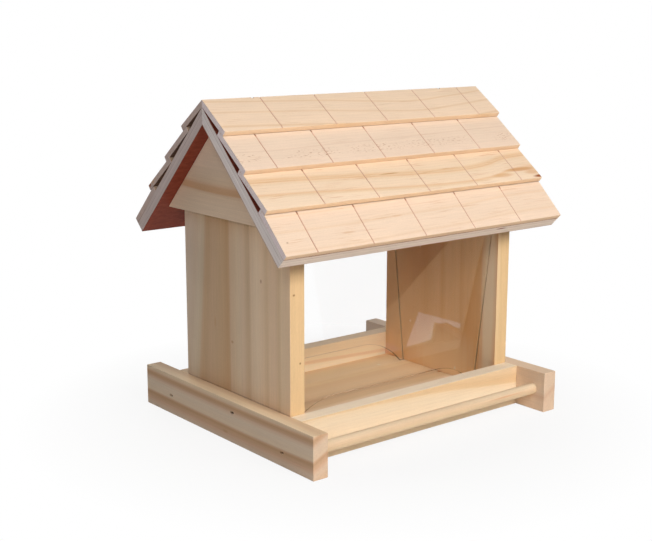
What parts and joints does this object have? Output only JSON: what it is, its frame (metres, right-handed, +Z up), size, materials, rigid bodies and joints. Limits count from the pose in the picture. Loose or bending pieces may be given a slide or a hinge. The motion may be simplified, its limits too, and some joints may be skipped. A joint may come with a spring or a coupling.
{
  "type": "bird feeder",
  "caption": "House-shaped wooden bird feeder with a lapped shingle roof that lifts off, leaning clear panes over a seed tray, and a perch rail on each long side.",
  "frame": {"origin": "on the ground under the middle of the tray, the centre of the bottom of the bounding box", "axes": "+X along the ridge towards the right-hand end, -Y is the front, +Z is up"},
  "size_m": [0.372, 0.3, 0.345],
  "materials": {
    "pine_board": "planed and sanded, untreated",
    "pine_shingle": "planed, untreated, sawn kerfs",
    "film_faced_plywood": "red-brown phenolic film on both faces, grey layered edges",
    "clear_acrylic": "clear polished sheet",
    "pine_dowel": "turned and sanded, untreated",
    "nail_steel": "bright drawn wire"
  },
  "bodies": {
    "house": {"back_rail": "pine_board", "end_rail_left": "pine_board", "end_rail_right": "pine_board", "end_wall_left": "pine_board", "end_wall_right": "pine_board", "floor_board": "pine_board", "frame_nails": "nail_steel", "front_rail": "pine_board", "perch_back": "pine_dowel", "perch_front": "pine_dowel"},
    "roof": {"gable_board_left": "pine_board", "gable_board_right": "pine_board", "roof_nails": "nail_steel", "roof_panel_back": "film_faced_plywood", "roof_panel_front": "film_faced_plywood", "shingle_back_1": "pine_shingle", "shingle_back_2": "pine_shingle", "shingle_back_3": "pine_shingle", "shingle_back_4": "pine_shingle", "shingle_front_1": "pine_shingle", "shingle_front_2": "pine_shingle", "shingle_front_3": "pine_shingle", "shingle_front_4": "pine_shingle"},
    "front_pane": {"pane_front": "clear_acrylic"},
    "back_pane": {"pane_back": "clear_acrylic"}
  },
  "joints": [
    {"name": "roof_lift", "type": "slide", "parent": "house", "child": "roof", "axis": [0, 0, 1], "range_m": [0, 0.15]},
    {"name": "front_pane_lift", "type": "slide", "parent": "house", "child": "front_pane", "axis": [0, -0.1219, 0.9925], "range_m": [0, 0.004]},
    {"name": "back_pane_lift", "type": "slide", "parent": "house", "child": "back_pane", "axis": [0, 0.1219, 0.9925], "range_m": [0, 0.004]}
  ]
}
